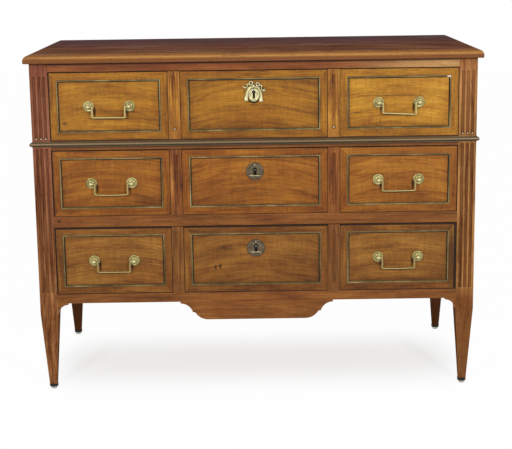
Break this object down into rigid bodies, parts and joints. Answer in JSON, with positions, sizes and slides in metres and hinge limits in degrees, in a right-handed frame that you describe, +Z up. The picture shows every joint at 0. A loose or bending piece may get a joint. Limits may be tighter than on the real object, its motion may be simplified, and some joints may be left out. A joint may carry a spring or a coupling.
{
  "type": "chest of drawers",
  "caption": "Neoclassical chest of drawers on tapered legs, with brass-framed panels, fluted posts, locks and swinging bail handles.",
  "frame": {"origin": "on the floor, under the middle of the top board", "axes": "+X to the right seen from the front, +Y to the back, +Z up"},
  "size_m": [1.16, 0.56, 0.89],
  "materials": {
    "top_wood": "hand-polished walnut, darkened",
    "case_wood": "hand-polished walnut",
    "front_wood": "hand-polished figured walnut veneer",
    "inner_wood": "bare planed oak",
    "handle_brass": "polished, lightly tarnished",
    "moulding_brass": "drawn, tarnished",
    "plate_bronze": "pressed, dark patina",
    "lock_iron": "forged and filed, browned",
    "ferrule_dark": "blackened",
    "glide_metal": "worn bright"
  },
  "bodies": {
    "carcass": {"apron_rail": "case_wood", "back_boards": "inner_wood", "back_rails": "inner_wood", "drawer_runners": "inner_wood", "foot_ferrules": "ferrule_dark", "foot_glides": "glide_metal", "frieze_rail": "case_wood", "middle_rail": "case_wood", "post_beads": "handle_brass", "post_front_left": "case_wood", "post_front_right": "case_wood", "post_rear_left": "case_wood", "post_rear_right": "case_wood", "side_panels_left": "case_wood", "side_panels_right": "case_wood", "side_rails_left": "case_wood", "side_rails_right": "case_wood", "top_board": "top_wood", "waist_moulding": "moulding_brass", "waist_rail": "case_wood"},
    "bail_left_top": {"bail_left_top": "handle_brass"},
    "bail_right_top": {"bail_right_top": "handle_brass"},
    "lock_bolt_top": {"lock_bolt_top": "lock_iron"},
    "bail_left_middle": {"bail_left_middle": "handle_brass"},
    "bail_right_middle": {"bail_right_middle": "handle_brass"},
    "lock_bolt_middle": {"lock_bolt_middle": "lock_iron"},
    "bail_left_bottom": {"bail_left_bottom": "handle_brass"},
    "bail_right_bottom": {"bail_right_bottom": "handle_brass"},
    "lock_bolt_bottom": {"lock_bolt_bottom": "lock_iron"},
    "drawer_top": {"drawer_back_top": "inner_wood", "drawer_bottom_top": "inner_wood", "drawer_front_top": "front_wood", "drawer_sides_top": "inner_wood", "escutcheon_top": "handle_brass", "handle_posts_top": "handle_brass", "handle_rosettes_top": "handle_brass", "lock_case_top": "lock_iron", "panel_mouldings_top": "moulding_brass", "pilaster_beads_top": "handle_brass", "pilasters_top": "front_wood"},
    "drawer_middle": {"drawer_back_middle": "inner_wood", "drawer_bottom_middle": "inner_wood", "drawer_front_middle": "front_wood", "drawer_sides_middle": "inner_wood", "escutcheon_middle": "plate_bronze", "handle_posts_middle": "handle_brass", "handle_rosettes_middle": "handle_brass", "lock_case_middle": "lock_iron", "panel_mouldings_middle": "moulding_brass", "pilasters_middle": "front_wood"},
    "drawer_bottom": {"drawer_back_bottom": "inner_wood", "drawer_bottom_bottom": "inner_wood", "drawer_front_bottom": "front_wood", "drawer_sides_bottom": "inner_wood", "escutcheon_bottom": "plate_bronze", "handle_posts_bottom": "handle_brass", "handle_rosettes_bottom": "handle_brass", "lock_case_bottom": "lock_iron", "panel_mouldings_bottom": "moulding_brass", "pilasters_bottom": "front_wood"}
  },
  "joints": [
    {"name": "bail_left_top_swing", "type": "hinge", "parent": "drawer_top", "child": "bail_left_top", "pos_m": [-0.36935, -0.27, 0.75685], "axis": [-1, 0, 0], "range_deg": [-20, 120]},
    {"name": "bail_right_top_swing", "type": "hinge", "parent": "drawer_top", "child": "bail_right_top", "pos_m": [0.36935, -0.27, 0.75685], "axis": [-1, 0, 0], "range_deg": [-20, 120]},
    {"name": "drawer_top_slide", "type": "slide", "parent": "carcass", "child": "drawer_top", "axis": [0, -1, 0], "range_m": [0, 0.36]},
    {"name": "lock_bolt_top_throw", "type": "slide", "parent": "drawer_top", "child": "lock_bolt_top", "axis": [0, 0, 1], "range_m": [0, 0.008]},
    {"name": "bail_left_middle_swing", "type": "hinge", "parent": "drawer_middle", "child": "bail_left_middle", "pos_m": [-0.36935, -0.27, 0.55785], "axis": [-1, 0, 0], "range_deg": [-20, 120]},
    {"name": "bail_right_middle_swing", "type": "hinge", "parent": "drawer_middle", "child": "bail_right_middle", "pos_m": [0.36935, -0.27, 0.55785], "axis": [-1, 0, 0], "range_deg": [-20, 120]},
    {"name": "drawer_middle_slide", "type": "slide", "parent": "carcass", "child": "drawer_middle", "axis": [0, -1, 0], "range_m": [0, 0.36]},
    {"name": "lock_bolt_middle_throw", "type": "slide", "parent": "drawer_middle", "child": "lock_bolt_middle", "axis": [0, 0, 1], "range_m": [0, 0.008]},
    {"name": "bail_left_bottom_swing", "type": "hinge", "parent": "drawer_bottom", "child": "bail_left_bottom", "pos_m": [-0.36935, -0.27, 0.35285], "axis": [-1, 0, 0], "range_deg": [-20, 120]},
    {"name": "bail_right_bottom_swing", "type": "hinge", "parent": "drawer_bottom", "child": "bail_right_bottom", "pos_m": [0.36935, -0.27, 0.35285], "axis": [-1, 0, 0], "range_deg": [-20, 120]},
    {"name": "drawer_bottom_slide", "type": "slide", "parent": "carcass", "child": "drawer_bottom", "axis": [0, -1, 0], "range_m": [0, 0.36]},
    {"name": "lock_bolt_bottom_throw", "type": "slide", "parent": "drawer_bottom", "child": "lock_bolt_bottom", "axis": [0, 0, 1], "range_m": [0, 0.008]}
  ]
}
